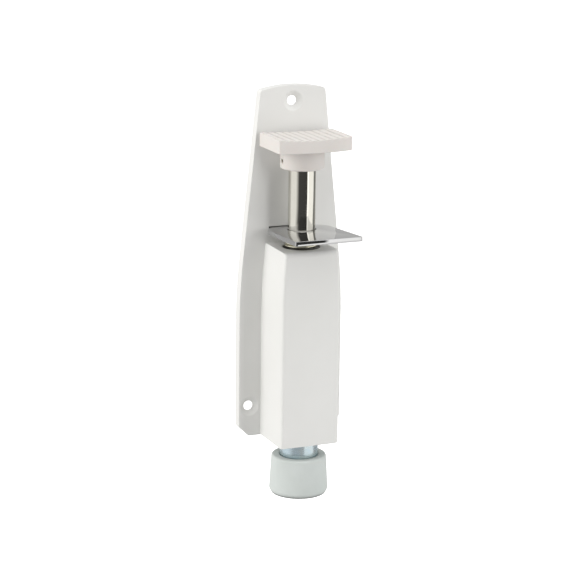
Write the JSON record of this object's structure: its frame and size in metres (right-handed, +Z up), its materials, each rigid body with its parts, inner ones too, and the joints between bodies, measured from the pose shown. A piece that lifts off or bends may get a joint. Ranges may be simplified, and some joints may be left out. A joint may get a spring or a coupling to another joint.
{
  "type": "floor door holder",
  "caption": "Pedal-operated plunger door holder: back plate with box housing, foot pedal on a plated rod, canted release plate and rubber foot.",
  "frame": {"origin": "on the flat back face, on the centre line, midway between the two lower screw holes", "axes": "+Z up along the rod, +Y out of the back face towards the door, +X to the right when facing the front"},
  "size_m": [0.0492, 0.0463, 0.1819],
  "materials": {
    "white_coat": "white powder coat on a zinc die casting, fine orange peel",
    "white_plastic": "warm white moulded plastic, satin",
    "bright_plate": "polished nickel-chrome plating",
    "zinc_plate": "blue-passivated zinc plating",
    "spring_steel": "plated spring steel",
    "bush_plastic": "natural acetal",
    "grey_rubber": "light grey moulded rubber"
  },
  "bodies": {
    "housing": {"body_casting": "white_coat", "top_guide_bush": "bush_plastic", "bottom_guide_bush": "bush_plastic", "bottom_circlip": "spring_steel", "spring_seat_washer": "zinc_plate", "return_spring": "spring_steel", "lever_spring": "spring_steel"},
    "rod": {"push_rod": "bright_plate", "pedal": "white_plastic", "pedal_pin": "spring_steel", "rod_end_washer": "zinc_plate", "rod_end_screw": "zinc_plate", "pressure_spring": "spring_steel"},
    "foot": {"piston_tube": "zinc_plate", "spring_collar": "zinc_plate", "collar_circlip": "spring_steel", "tube_guide_bush": "bush_plastic", "foot_plug": "zinc_plate", "rubber_foot": "grey_rubber"},
    "lever": {"locking_plate": "bright_plate"}
  },
  "joints": [
    {"name": "piston_slide", "type": "slide", "parent": "housing", "child": "rod", "axis": [0, 0, -1], "range_m": [0, 0.0255], "stiffness_N_per_m": 400, "springref_m": -0.03, "deforming": ["return_spring"]},
    {"name": "foot_slide", "type": "slide", "parent": "rod", "child": "foot", "axis": [0, 0, 1], "range_m": [0, 0.006], "stiffness_N_per_m": 2500, "springref_m": -0.02, "deforming": ["pressure_spring"]},
    {"name": "lever_tilt", "type": "hinge", "parent": "housing", "child": "lever", "pos_m": [0, -0.0025, 0.08026], "axis": [1, 0, 0], "range_deg": [0, 5], "stiffness_Nm_per_rad": 1.7, "springref_deg": -5.73, "deforming": ["lever_spring"]}
  ]
}
